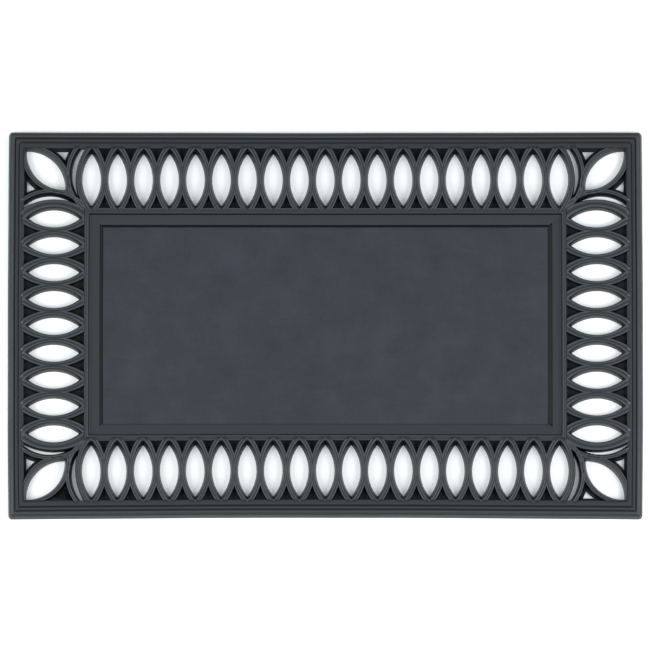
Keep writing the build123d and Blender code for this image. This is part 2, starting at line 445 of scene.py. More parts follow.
    def _wiped(self, tree: bpy.types.NodeTree, place: bpy.types.NodeSocket,
               colour: bpy.types.NodeSocket) -> bpy.types.NodeSocket:
        """Add the fine lines that wiping leaves on a flat face.

        Args:
            tree: the material's tree.
            place: Object coordinates.
            colour: the colour so far.

        Returns:
            The colour with the lines.
        """
        drawn = add_node(tree, "ShaderNodeMapping", {
            "Vector": place, "Scale": tuple(1 / (size * MM) for size in self.streak_size)})
        lines = add_node(tree, "ShaderNodeTexNoise", {
            "Vector": drawn, "Scale": 1.0, "Detail": 3.0, "Roughness": 0.6})
        share = add_node(tree, "ShaderNodeMapRange", (lines, 0.45, 0.75, 0.0, self.streak))
        return self._mixed(tree, share, colour, self.rubbed)


@dataclass
class Finishes:
    """The mat's finishes by slot: one rubber, greyed differently from part to part,
    with painted shade in low parts and paler high edges, partly painted highlight.
    """

    materials: dict[Slot, bpy.types.Material] = field(default_factory=dict)

    def build(self) -> None:
        """Make every material."""
        for slot, finish in self._finishes().items():
            self.materials[slot] = finish.material()
            LOG.info("finish %s for slot %s", finish.name, slot.value)

    @staticmethod
    def _finishes() -> dict[Slot, RubberFinish]:
        """Say what each slot's rubber looks like.

        Returns:
            A finish for each slot.
        """
        # most finishes paint shade into their low parts and a paler band, partly painted highlight, on
        # their high edges
        return {
            Slot.RIM: RubberFinish(
                "rubber_compression_moulded_rim", "#171A1D", "#202529", "#32383D",
                rub_low=10.7, rub_high=11.2, deep_low=8.0, deep_high=10.0),
            Slot.OPENWORK: RubberFinish(
                "rubber_compression_moulded_openwork", "#121518", "#1A1E22", "#3F464C",
                deep="#07080A", cloud=26.0, deep_share=0.9, specular=0.46, polish=0.6),
            # the pocket floors are painted almost black as painted shade, for they lie deep between the
            # rings
            Slot.POCKET: RubberFinish(
                "rubber_compression_moulded_pocket", "#060708", "#0C0E10", "#181B1E", deep="#060708",
                deep_low=1.5, deep_high=4.6, deep_share=0.5, roughness=0.75, specular=0.3),
            Slot.INNER_RAIL: RubberFinish(
                "rubber_compression_moulded_rail", "#181B1F", "#21262B", "#3A4047", deep="#08090B",
                rub_low=10.75, rub_high=11.0, deep_low=7.0, deep_high=10.6),
            # the ledge's sloping lip is painted darkest as painted shade
            Slot.LEDGE: RubberFinish(
                "rubber_compression_moulded_ledge", "#181C20", "#252A30", "#31373D", deep="#07080A",
                deep_low=5.4, deep_high=6.4, deep_share=0.9, dull=0.4),
            # the fine gutter round the panel is painted dark as painted shade
            Slot.PANEL: RubberFinish(
                "rubber_compression_moulded_panel", "#15171D", "#292D37", "#32363D", deep="#07080A",
                cloud=48.0, streak=0.14, bloom_share=0.9, deep_low=3.2, deep_high=3.8,
                deep_share=0.9, dull=0.3),
            Slot.STUD: RubberFinish(
                "rubber_compression_moulded_stud", "#181B1D", "#212428", "#2F3438",
                deep_low=-1.0, deep_high=-0.5),
        }


@dataclass
class Workshop:
    """What every part needs to finish its pieces."""

    layout: MatLayout
    lie: Lie
    finishes: Finishes

    def deliver(self, piece: bpy.types.Object, slot: Slot, *nodes: str) -> None:
        """Put a finished piece in the scene and tie it to the frame.

        Args:
            piece: the object, with its place in its mesh.
            slot: the material slot that it takes its finish from.
            nodes: the CAD nodes that it stands for.
        """
        if piece.name not in bpy.context.scene.collection.objects:
            bpy.context.scene.collection.objects.link(piece)
        self.lie.settle(piece)
        piece.data.materials.clear()
        piece.data.materials.append(self.finishes.materials[slot])
        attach(piece, BODY)
        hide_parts(*nodes)
        LOG.info("piece %s: %d faces, stands for %s", piece.name, len(piece.data.polygons),
                 ", ".join(nodes))


# ---- geometry nodes -----------------------------------------------------------------------------
@dataclass
class NodeRecipe:
    """A Geometry Nodes tree with named inputs, run once on an empty mesh."""

    name: str
    tree: bpy.types.GeometryNodeTree = field(init=False)

    def __post_init__(self) -> None:
        """Make the empty tree and its output."""
        self.tree = bpy.data.node_groups.new(self.name, "GeometryNodeTree")
        self.tree.interface.new_socket("Geometry", in_out="OUTPUT", socket_type="NodeSocketGeometry")

    def inputs(self, **kinds: str) -> list[bpy.types.NodeSocket]:
        """Add the tree's named inputs.

        Args:
            kinds: Float, Int, Vector, Object or Material for each input's name.

        Returns:
            The sockets that carry them in the tree.
        """
        carrier = self.tree.nodes.new("NodeGroupInput")
        for name, kind in kinds.items():
            self.tree.interface.new_socket(name, in_out="INPUT", socket_type=f"NodeSocket{kind}")
        return [carrier.outputs[name] for name in kinds]

    def end(self, geometry: bpy.types.Node, material: bpy.types.NodeSocket) -> None:
        """Close the tree with Realize Instances, a weld and Set Material.

        Args:
            geometry: the node that made the shape.
            material: the material input.
        """
        real = add_node(self.tree, "GeometryNodeRealizeInstances", (geometry,))
        weld = add_node(self.tree, "GeometryNodeMergeByDistance", {"Geometry": real, "Distance": WELD})
        dressed = add_node(self.tree, "GeometryNodeSetMaterial", {"Geometry": weld, "Material": material})
        add_node(self.tree, "NodeGroupOutput", (dressed,))

    def run(self, name: str, settings: dict) -> bpy.types.Object:
        """Evaluate the tree with its inputs set and keep the result as a plain mesh.

        Args:
            name: name of the piece.
            settings: input values by the input's name.

        Returns:
            The piece, linked to the scene, with no modifier.
        """
        piece = bpy.data.objects.new(name, bpy.data.meshes.new(f"{name}_seed"))
        bpy.context.scene.collection.objects.link(piece)
        modifier = piece.modifiers.new(self.name, "NODES")
        modifier.node_group = self.tree
        for item in self.tree.interface.items_tree:
            if item.in_out == "INPUT" and item.name in settings:
                modifier[item.identifier] = settings[item.name]
        depsgraph = bpy.context.evaluated_depsgraph_get()
        mesh = bpy.data.meshes.new_from_object(piece.evaluated_get(depsgraph))
        mesh.name = name
        piece.modifiers.remove(modifier)
        piece.data = mesh
        return piece


@dataclass(frozen=True)
class Row:
    """A row of cells on a side of the mat, in millimetres."""

    side: Side
    count: int
    pitch: float
    reach: float                 # from the mat's middle to the row's


@dataclass
class RowRecipe(NodeRecipe):
    """Cells at equal steps along a line, with end cells of their own, turned to a side of the mat."""

    name: str = "row_of_cells"

    def __post_init__(self) -> None:
        """Build the tree."""
        super().__post_init__()
        tree = self.tree
        first, middle, last, count, pitch, turn, centre, material = self.inputs(
            First="Object", Middle="Object", Last="Object", Count="Int", Pitch="Float",
            Turn="Float", Centre="Vector", Material="Material")
        steps = add_node(tree, "ShaderNodeMath", (count, 1.0), operation="SUBTRACT")
        length = add_node(tree, "ShaderNodeMath", (steps, pitch), operation="MULTIPLY")
        start = add_node(tree, "ShaderNodeMath", (length, -0.5), operation="MULTIPLY")
        line = add_node(tree, "GeometryNodeMeshLine", {
            "Count": count, "Start Location": add_node(tree, "ShaderNodeCombineXYZ", (start,)),
            "Offset": add_node(tree, "ShaderNodeCombineXYZ", (pitch,))}, mode="OFFSET")
        index = add_node(tree, "GeometryNodeInputIndex")
        is_first, is_last = (
            add_node(tree, "FunctionNodeCompare", {2: index, 3: end}, data_type="INT", operation="EQUAL")
            for end in (0, steps))
        is_inner = add_node(tree, "FunctionNodeBooleanMath", (is_first, is_last), operation="NOR")
        joined = add_node(tree, "GeometryNodeJoinGeometry")
        for cell, chosen in ((first, is_first), (middle, is_inner), (last, is_last)):
            shape = add_node(tree, "GeometryNodeObjectInfo", {"Object": cell}).outputs["Geometry"]
            placed = add_node(tree, "GeometryNodeInstanceOnPoints", {
                "Points": line, "Selection": chosen, "Instance": shape})
            tree.links.new(placed.outputs[0], joined.inputs[0])
        moved = add_node(tree, "GeometryNodeTransform", {
            "Geometry": joined, "Translation": centre,
            "Rotation": add_node(tree, "ShaderNodeCombineXYZ", {"Z": turn})})
        self.end(moved, material)

    def lay(self, name: str, cells: tuple[bpy.types.Object, ...], row: Row,
            material: bpy.types.Material) -> bpy.types.Object:
        """Lay a row of cells on a side of the mat.

        Args:
            name: name of the piece.
            cells: first, middle and last cell, with their outer end towards +Y.
            row: where they stand.
            material: their finish.

        Returns:
            The row as one mesh.
        """
        turn = math.radians(row.side.value)
        centre = (-math.sin(turn) * row.reach * MM, math.cos(turn) * row.reach * MM, 0.0)
        return self.run(name, {
            "First": cells[0], "Middle": cells[1], "Last": cells[2], "Count": row.count,
            "Pitch": row.pitch * MM, "Turn": turn, "Centre": centre, "Material": material})


@dataclass
class StudRecipe(NodeRecipe):
    """Studs on a grid."""

    name: str = "grid_of_studs"

    def __post_init__(self) -> None:
        """Build the tree."""
        super().__post_init__()
        stud, length, width, columns, rows, material = self.inputs(
            Stud="Object", Length="Float", Width="Float", Columns="Int", Rows="Int", Material="Material")
        grid = add_node(self.tree, "GeometryNodeMeshGrid", {
            "Size X": length, "Size Y": width, "Vertices X": columns, "Vertices Y": rows})
        points = add_node(self.tree, "GeometryNodeMeshToPoints", {"Mesh": grid})
        shape = add_node(self.tree, "GeometryNodeObjectInfo", {"Object": stud}).outputs["Geometry"]
        placed = add_node(self.tree, "GeometryNodeInstanceOnPoints", {"Points": points, "Instance": shape})
        self.end(placed, material)


@dataclass
class SweepRecipe(NodeRecipe):
    """A flat section carried along a circular arc."""

    name: str = "band_along_arc"

    def __post_init__(self) -> None:
        """Build the tree."""
        super().__post_init__()
        tree = self.tree
        section, radius, start, sweep, steps, centre, material = self.inputs(
            Section="Object", Radius="Float", Start="Float", Sweep="Float", Steps="Int",
            Centre="Vector", Material="Material")
        arc = add_node(tree, "GeometryNodeCurveArc", {
            "Resolution": steps, "Radius": radius, "Start Angle": start, "Sweep Angle": sweep},
            mode="RADIUS")
        shape = add_node(tree, "GeometryNodeObjectInfo", {"Object": section}).outputs["Geometry"]
        outline = add_node(tree, "GeometryNodeMeshToCurve", {"Mesh": shape})
        band = add_node(tree, "GeometryNodeCurveToMesh", {
            "Curve": arc, "Profile Curve": outline, "Fill Caps": True})
        moved = add_node(tree, "GeometryNodeTransform", {"Geometry": band, "Translation": centre})
        self.end(moved, material)


# ---- rails --------------------------------------------------------------------------------------
@dataclass
class MitredFrame:
    """Four rails of a rectangular frame, each carried from mitre to mitre.

    A curve swept in Geometry Nodes thins a section at a mitre, so the rails are laid point by point.
    """

    half_length: float
    half_width: float
    steps: int = 56              # along a rail
    bend: int = 5                # round its half of a corner

    def rail(self, name: str, side: Side, section: Section, ratio: float,
             turn: list[float]) -> bpy.types.Object:
        """Make one rail as a closed shell.

        Args:
            name: name of the rail.
            side: the side that it lies on.
            section: (distance in from the frame's outer face, height), closed.
            ratio: distance along the rail's length at the mitre for each millimetre across.
            turn: corner radius of each section point's path.

        Returns:
            The rail.
        """
        along, across = self.half_length, self.half_width
        if not side.is_row:
            along, across = across, along
        # each station: where its corner centre lies along the rail, from -1 to 1, and its bearing
        stations = [(-1.0, 135 - 45 * k / self.bend) for k in range(self.bend)]
        stations += [(2 * k / self.steps - 1, 90.0) for k in range(self.steps + 1)]
        stations += [(1.0, 90 - 45 * (k + 1) / self.bend) for k in range(self.bend)]
        cos, sin = math.cos(math.radians(side.value)), math.sin(math.radians(side.value))
        points: list[Point] = []
        for slide, bearing in stations:
            bend_x, bend_y = math.cos(math.radians(bearing)), math.sin(math.radians(bearing))
            for (d, z), radius in zip(section, turn):
                x = (along - (d + radius) * ratio) * slide + radius * ratio * bend_x
                y = across - d - radius + radius * bend_y
                points.append((x * cos - y * sin, x * sin + y * cos, z))
        size = len(section)
        rows = [list(range(k, k + size)) for k in range(0, len(points), size)]
        faces = skin(rows, True) + [tuple(rows[0]), tuple(reversed(rows[-1]))]
        return mesh_object(name, points, faces)


@dataclass
class OuterRim:
    """Stepped rim: rounded outer slope, bead between two grooves, and a flat band inside."""

    shop: Workshop
    outer_radius: float = 5.0
    groove_radius: float = 1.6
    depth: float = 19.0         # width that the section below is drawn for
    # distance in, height and rounding of each corner of the section
    corners: tuple[Point, ...] = (
        (0.0, 0.0, 0.3), (0.1, 1.2, 0.7), (1.9, 9.0, 0.9), (3.2, 10.4, 0.9), (5.6, 11.1, 0.9),
        (7.0, 11.0, 0.4), (7.8, 8.9, 0.35), (9.1, 10.5, 0.6), (11.3, 10.6, 0.6), (12.9, 8.7, 0.3),
        (13.5, 10.2, 0.35), (19.0, 10.2, 0.5), (19.0, 0.0, 0.0),
    )

    def build(self) -> None:
        """Make and deliver the four rails."""
        layout = self.shop.layout
        rails = MitredFrame(*layout.half)
        for side in Side:
            width, other = reversed(layout.rim) if side.is_row else layout.rim
            wider = width / self.depth
            section = rounded_section([(d * wider, z, radius) for d, z, radius in self.corners])
            turn = [max(self.outer_radius - d, self.groove_radius) for d, _ in section]
            rail = rails.rail(f"outer_rim_{side.label}", side, section, other / width, turn)
            self.shop.deliver(rail, Slot.RIM, f"rim_rail_{side.label}")


@dataclass
class Recess:
    """Inner rails, the ledge inside them and the panel."""

    shop: Workshop
    ridge: float = 11.0         # top of the inner rails
    shoulder: float = 10.2      # where their outer rounding starts
    brow: float = 0.9           # width of that rounding
    dish: float = 0.3           # depth of the hollow along the rails' top
    brim: float = 2.2           # from the rails' edges to the hollow
    draft: float = 1.2          # lean of the rails' inner wall
    corner: float = 1.2         # rounding of the rails' and the ledge's path at the mitres
    ledge: float = 6.5
    seam: float = 0.7           # width of the fillet between rail and ledge
    seam_rise: float = 0.3
    # slope of the ledge's edge, worn wider at the ends
    lips: dict[Side, float] = field(default_factory=lambda: {
        Side.BACK: 1.0, Side.LEFT: 2.9, Side.RIGHT: 4.4, Side.FRONT: 0.6})
    brink: float = 0.5          # width of the steep part at the top of that slope
    hollow: float = 4.9         # foot of the steep part
    panel: float = 4.0
    skirt: float = 1.5
    ripple: float = 0.10        # unevenness of the panel
    calm: float = 25.0          # width of the panel's border in which it fades
    gutter: float = 0.7         # depth of the fine gutter along three sides of the panel
    gutter_flat: float = 0.6    # share of its width that is flat
    gutters: dict[Side, float] = field(default_factory=lambda: {
        Side.LEFT: 1.3, Side.RIGHT: 1.6, Side.BACK: 1.8})
    cell: float = 9.0           # spacing of the panel's points
    fine: float = 0.8           # their spacing at its border
    fine_count: int = 8

    def build(self) -> None:
        """Make and deliver rails, ledge strips and panel, one inside the other."""
        layout = self.shop.layout
        half = layout.recess
        for name, node, slot, widths, section_of in (
                ("recess_rail", "inner_rail", Slot.INNER_RAIL, layout.rail, self._rail_section),
                ("insert_shelf", "insert_ledge", Slot.LEDGE, layout.ledge, self._ledge_section)):
            rails = MitredFrame(*half)
            for side in Side:
                width, other = reversed(widths) if side.is_row else widths
                section = rounded_section(section_of(width, side))
                turn = [self.corner] * len(section)
                rail = rails.rail(f"{name}_{side.label}", side, section, other / width, turn)
                self.shop.deliver(rail, slot, f"{node}_{side.label}")
            half = (half[0] - widths[0], half[1] - widths[1])
        self._panel(*half)

    def _rail_section(self, width: float, side: Side) -> list[Point]:
        """Section of an inner rail, with a hollow top between two raised edges.

        Args:
            width: the rail's width at its foot.
            side: its side; not used, for all sides are alike.

        Returns:
            Corners with their roundings.
        """
        top, floor = width - self.draft, self.ridge - self.dish
        return [
            (0.0, 0.0, 0.0), (0.0, self.shoulder, 0.4), (self.brow, self.ridge, 0.5),
            (self.brim, floor, 0.6), (top - self.brim, floor, 0.6), (top - self.brow, self.ridge, 0.5),
            (top, self.shoulder, 0.5), (width, self.ledge, 0.0), (width, 0.0, 0.0),
        ]

    def _ledge_section(self, width: float, side: Side) -> list[Point]:
        """Section of a ledge strip, with a fillet at the rail and a sloping lip.

        Args:
            width: the strip's width.
            side: its side.

        Returns:
            Corners with their roundings.
        """
        lip = self.lips[side]
        steep = min(self.brink, lip * 0.6)
        return [
            (0.0, self.skirt, 0.0), (0.0, self.ledge + self.seam_rise, 0.0),
            (self.seam, self.ledge - 0.05, 0.5), (width - lip, self.ledge, 0.4),
            (width - lip + steep, self.hollow, 0.2), (width, self.panel - self.gutter, 0.0),
            (width, self.skirt, 0.0),
        ]

    def _stations(self, half: float) -> list[float]:
        """Places of the panel's points along one axis, close together at the gutter.

        Args:
            half: half the panel's size.

        Returns:
            The places in ascending order.
        """
        fine = [half - self.fine * k for k in range(self.fine_count)]
        count = round(2 * fine[-1] / self.cell)
        middle = [fine[-1] * (2 * k / count - 1) for k in range(1, count)]
        return [-x for x in fine] + middle + list(reversed(fine))

    def _gutter(self, away: dict[Side, float]) -> float:
        """Depth of the gutter at a point of the panel, from how far each side's edge is away."""
        near = max(1 - smooth_step(w * self.gutter_flat, w, away[s]) for s, w in self.gutters.items())
        return self.gutter * near

    def _panel(self, half_x: float, half_y: float) -> None:
        """Make and deliver the panel as a slab with a faintly uneven top.

        Args:
            half_x: half its length.
            half_y: half its width.
        """
        xs, ys = self._stations(half_x), self._stations(half_y)
        points: list[Point] = []
        for y in ys:
            for x in xs:
                edge = min(half_x - abs(x), half_y - abs(y))
                # slow waves of unlike lengths
                wave = math.sin(x / 47 + 0.6) * math.sin(y / 39 + 1.1) + math.sin(x / 21 + y / 33)
                drop = self.ripple * (wave / 2 - 1) * smooth_step(0, self.calm, edge)
                drop -= self._gutter({Side.LEFT: x + half_x, Side.RIGHT: half_x - x, Side.BACK: half_y - y})
                points.append((x, y, self.panel + drop))
        points += [(x, y, self.skirt) for y in ys for x in xs]
        across, sheet = len(xs), len(xs) * len(ys)
        top = [list(range(k, k + across)) for k in range(0, sheet, across)]
        under = [[n + sheet for n in reversed(row)] for row in top]
        border = top[0] + [row[-1] for row in top[1:]] + top[-1][-2::-1] + [row[0] for row in top[-2:0:-1]]
        faces = skin(top, False) + skin(under, False)
        faces += band_between(border, [n + sheet for n in border], True)
        self.shop.deliver(mesh_object("recess_floor", points, faces), Slot.PANEL, "recess_panel")


# ---- openwork -----------------------------------------------------------------------------------
@dataclass(frozen=True)
class BandSection:
    """Cross-section of a ring's band: leaning walls and a dished top between two rounded edges.

    Each corner is (fixed offset from the opening's edge, share of the band's width, height).
    """

    crest: float = 12.0
    skirt: float = 1.5
    inner_lean: float = 2.4
    outer_lean: float = 1.0
    brow: float = 0.95          # from the walls' top to the crest
    dish: float = 0.34

    def chain(self) -> list[Point]:
        """Corners from the foot of the inner wall over the top to the foot of the outer wall.

        Returns:
            (fixed offset, share of the width, height) of each corner.
        """
        top, low, brow = self.crest, self.skirt, self.crest - self.brow
        wall = (brow - low) / (top - low)
        return [
            (-self.inner_lean, 0.0, low),
            (-self.inner_lean * (1 - wall) - 0.02, 0.0, brow),
            (0.05, 0.03, top - 0.38),
            (0.25, 0.08, top - 0.08),
            (0.25, 0.14, top),
            (0.0, 0.30, top - 0.12),
            (0.0, 0.40, top - self.dish),
            (0.0, 0.60, top - self.dish),
            (0.0, 0.72, top - 0.10),
            (-0.25, 0.86, top),
            (-0.25, 0.93, top - 0.08),
            (-0.05, 0.98, top - 0.38),
            (0.08, 1.0, brow),
            (self.outer_lean, 1.0, low),
        ]


@dataclass
class HalfBand:
    """One side of a lens-shaped ring along Y, to the right of its middle plane."""

    open_radius: float
    open_half: float
    body_radius: float
    body_half: float
    section: BandSection
    tip_lean: float = 0.0        # how much more the inner wall leans at the tips, as a share
    steps: int = 34
    tip: float = 0.8             # radians from the middle at which a band's width near its tip is taken
    crowd: float = 0.45          # share of a step within which an even ray gives way to a crossing
    closest: float = 0.0035      # radians within which two rays become one
    halvings: int = 40           # of the range in which a crossing is looked for

    @property
    def centre(self) -> float:
        """X of the opening arc's centre, counted to the left."""
        return self.open_radius - self.open_half

    def offset(self, fixed: float, share: float, angle: float) -> float:
        """Offset of one corner of the section from the opening's edge.

        Args:
            fixed: the corner's fixed offset.
            share: the corner's share of the width.
            angle: the ray's angle.

        Returns:
            The offset along the ray.
        """
        if share == 0.0:
            tip = math.acos(self.centre / self.open_radius)
            fixed *= 1 + self.tip_lean * min(abs(angle) / tip, 1.0) ** 2
        return fixed + share * self.width(angle)

    def width(self, angle: float) -> float:
        """Width of the band's top along a ray at an angle from the X axis through the arc's centre."""
        shift = self.centre - (self.body_radius - self.body_half)
        reach = shift * math.cos(angle)
        reach += math.sqrt(self.body_radius ** 2 - (shift * math.sin(angle)) ** 2)
        return reach - self.open_radius

    def _plane(self, x: float, angle: float) -> float:
        """Offset along a ray, from the opening's edge, at which it meets the upright plane at x."""
        return (self.centre + x) / math.cos(angle) - self.open_radius

    def angles(self, chain: list[Point], flank: float | None) -> list[float]:
        """Rays of the band, with one wherever a corner of the section meets a plane.

        Args:
            chain: the section's corners.
            flank: the plane at which the band joins its neighbour.

        Returns:
            Angles in ascending order, from tip to tip.
        """
        outermost = self.open_radius + self.width(self.tip) + chain[-1][0] + 0.05
        limit = math.acos(self.centre / outermost)
        planes = (0.0,) if flank is None else (0.0, flank)
        kept = [angle for plane in planes for fixed, share, _ in chain
                for angle in self._crossings(plane, fixed, share, limit)]
        for mark in [limit * k / self.steps for k in range(self.steps + 1)]:
            room = limit / self.steps * self.crowd
            if all(abs(mark - other) > room for other in kept) or mark == limit:
                kept.append(mark)
        thin: list[float] = []
        for angle in sorted(kept):
            if not thin or angle - thin[-1] > self.closest:
                thin.append(angle)
        return [-a for a in reversed(thin) if a > HAIR] + thin

    def _crossings(self, plane: float, fixed: float, share: float, limit: float) -> list[float]:
        """Angle at which one corner of the section meets a plane.

        Args:
            plane: the plane's place.
            fixed: the corner's fixed offset.
            share: the corner's share of the width.
            limit: the largest angle.

        Returns:
            The angle, or nothing where they don't meet.
        """
        def gap(angle: float) -> float:
            """How far the corner is outside the plane."""
            return self._plane(plane, angle) - self.offset(fixed, share, angle)

        low, high = 0.0, limit
        if gap(low) > 0 or gap(high) < 0:
            return []
        for _ in range(self.halvings):
            middle = (low + high) / 2
            if gap(middle) > 0:
                high = middle
            else:
                low = middle
        return [high]

    def build(self, flank: float | None) -> Shell:
        """Make the half band's points and faces.

        Args:
            flank: the plane at which the band joins its neighbour, or none for a free flank.

        Returns:
            Points and faces; the planes at the middle and at the flank stay open for the weld.
        """
        chain = self.section.chain()
        rows = []
        points: list[Point] = []
        for angle in self.angles(chain, flank):
            line = [(self.offset(fixed, share, angle), z) for fixed, share, z in chain]
            low = self._plane(0.0, angle)
            high = math.inf if flank is None else self._plane(flank, angle)
            spots = self._clamped(line, low, high)
            rows.append(list(range(len(points), len(points) + len(spots))))
            for offset, z in spots:
                reach = self.open_radius + offset
                points.append((reach * math.cos(angle) - self.centre, reach * math.sin(angle), z))
        faces = []
        for a, b in zip(rows, rows[1:]):
            faces += band_between(a, b, False)
            faces.append((a[-1], a[0], b[0], b[-1]))
        return points, faces

    @staticmethod
    def _clamped(line: Section, low: float, high: float) -> Section:
        """Cut a section to between two planes, with the cut points on its top line.

        Args:
            line: (offset, height) from the foot of the inner wall to the foot of the outer one.
            low: lowest offset.
            high: highest offset.

        Returns:
            As many points as the section has; the ones outside lie on the planes.
        """
        def on_line(offset: float) -> tuple[float, float]:
            """Point of the section at an offset."""
            for (s0, z0), (s1, z1) in zip(line, line[1:]):
                if s0 <= offset <= s1:
                    t = (offset - s0) / (s1 - s0) if s1 > s0 else 0.0
                    return (offset, z0 + (z1 - z0) * t)
            return (offset, line[0][1] if offset < line[0][0] else line[-1][1])

        return [on_line(low) if s < low else on_line(high) if s > high else (s, z) for s, z in line]


def two_sided(right: Shell, left: Shell) -> Shell:
    """Join a right half and the mirror image, across the YZ plane, of a left half."""
    faces = [tuple(n + len(right[0]) for n in reversed(face)) for face in left[1]]
    return right[0] + [(-x, y, z) for x, y, z in left[0]], right[1] + faces


@dataclass
class LensRows:
    """Rows of lens-shaped rings on the four sides, with the blind pocket floors between them."""

    shop: Workshop
    rows: RowRecipe
    open_radius: float = 58.9
    open_half: float = 13.9
    body_radius: float = 70.0
    body_half: float = 18.4
    row_corner: float = 65.4      # length of the corner blocks beside the rows, inside the rim
    column_corner: float = 67.5   # and beside the columns
    inset: float = 0.8            # how far the rows lie nearer to the recess
    long_count: int = 19
    short_count: int = 9
    pocket: float = 4.5           # top of the pocket floors
    overlap: float = 0.25         # how far the floors reach into the rings
    rim_slope: float = 0.62       # how steeply the tips sink over the rim
    rail_slope: float = 0.3       # and over the inner rail
    tuck: float = 3.0             # from where they dive under it to its inner face
    dive: float = 1.6             # how sharply they do
    section: BandSection = field(default_factory=lambda: BandSection(inner_lean=2.85))
    tip_lean: float = 0.5
    column_radius: float = 52.0   # the columns' openings are a little shorter and slimmer
    column_half: float = 12.6
    column_flank: float = 22.0    # half width of the columns' end rings on their free flank
    column_sink: float = 3.0      # so that their tips end at the inner rail instead of crossing it
    column_shift: float = 0.9     # how far the columns lie towards the front
    column_section: BandSection = field(default_factory=BandSection)

    def build(self) -> None:
        """Make and deliver the four rows and their pocket floors."""
        layout = self.shop.layout
        for side in Side:
            count, corner, along = self.short_count, self.column_corner, 1
            if side.is_row:
                count, corner, along = self.long_count, self.row_corner, 0
            pitch = 2 * (layout.half[along] - layout.rim[along] - corner) / count
            row = Row(side, count, pitch, layout.recess[1 - along] + layout.lattice / 2)
            self._rings(row)
            self._floors(replace(row, count=count - 1))

    def _rings(self, row: Row) -> None:
        """Make and deliver one row of rings.

        Args:
            row: where they stand.
        """
        side, half = row.side, row.pitch / 2
        cells = tuple(self._cell(name, side, left, right) for name, left, right in (
            ("first_ring", None, half), ("inner_ring", half, half), ("last_ring", half, None)))
        name = f"lens_column_{side.label}"
        if side.is_row:
            name, row = f"lens_row_{side.label}", replace(row, reach=row.reach - self.inset)
        piece = self.rows.lay(name, cells, row, self.shop.finishes.materials[Slot.OPENWORK])
        if not side.is_row:
            piece.data.transform(Matrix.Translation((0.0, -self.column_shift * MM, 0.0)))
        tidy_mesh(piece.data)
        self.shop.deliver(piece, Slot.OPENWORK, f"lens_rings_{side.label}")
        for cell in cells:
            bpy.data.objects.remove(cell)

    def _cell(self, name: str, side: Side, left: float | None, right: float | None) -> bpy.types.Object:
        """Make one ring along Y, with its outer end towards +Y.

        Args:
            name: name of the ring.
            side: the side of the mat that it is for.
            left: where its left flank joins a neighbour, or none.
            right: where its right flank joins a neighbour, or none.

        Returns:
            The ring, not in the scene.
        """
        points, faces = two_sided(self._half(side, right).build(right), self._half(side, left).build(left))
        layout = self.shop.layout
        rail = layout.rail[1] if side.is_row else self.column_sink
        points = [(x, y, self._ridden(y, z, layout.lattice / 2, rail)) for x, y, z in points]
        return mesh_object(name, points, faces)

    def _half(self, side: Side, flank: float | None) -> HalfBand:
        """Describe one half of a ring.

        Args:
            side: the side of the mat that it is for.
            flank: where it joins a neighbour, or none.

        Returns:
            The half band.
        """
        if side.is_row:
            return HalfBand(self.open_radius, self.open_half, self.body_radius, self.body_half,
                            self.section, self.tip_lean)
        body = self.column_flank if flank is None else self.body_half
        return HalfBand(self.column_radius, self.column_half, self.body_radius, body, self.column_section)

    def _ridden(self, y: float, z: float, edge: float, rail: float) -> float:
        """Height of a ring's point where its tips run over the rim and over the inner rail.

        Args:
            y: place along the ring, outer end positive.
            z: height before.
            edge: where the openwork ends.
            rail: width of the inner rail, under which the tip is gone.

        Returns:
            The height after.
        """
        past = abs(y) - edge
        drop = sinking(past, self.rim_slope, 1.0)
        if y < 0 < past:
            drop = sinking(past, self.rail_slope, 1.0) + self.dive * max(past - rail + self.tuck, 0.0) ** 2
        return max(z - drop, self.section.skirt) if past > 0 else z

    def _floors(self, row: Row) -> None:
        """Make and deliver the pocket floors of one row.

        Args:
            row: where the pairs of pockets stand.
        """
        cell = self._floor_pair(row.pitch)
        label = row.side.label
        piece = self.rows.lay(f"pocket_webs_{label}", (cell, cell, cell), row,
                              self.shop.finishes.materials[Slot.POCKET])
        tidy_mesh(piece.data)
        self.shop.deliver(piece, Slot.POCKET, f"pocket_floors_{label}")
        bpy.data.objects.remove(cell)

    def _wall(self, y: float, z: float) -> float:
        """Half width of a ring's outside at a place along the ring and a height."""
        part = self.section
        radius = self.body_radius + part.outer_lean * (part.crest - z) / (part.crest - part.skirt)
        return math.sqrt(radius ** 2 - y * y) - (self.body_radius - self.body_half)

    def _floor_pair(self, pitch: float) -> bpy.types.Object:
        """Make the two pocket floors between one pair of rings.

        Args:
            pitch: millimetres between the rings.

        Returns:
            Both floors as one object, not in the scene.
        """
        end = self.shop.layout.lattice / 2
        # the floors start just inside the place where the rings' walls part
        radius = self.body_radius + self.section.outer_lean * 0.75
        start = math.sqrt(radius ** 2 - (pitch / 2 + self.body_radius - self.body_half) ** 2) - 0.6
        points: list[Point] = []
        faces: list[Face] = []
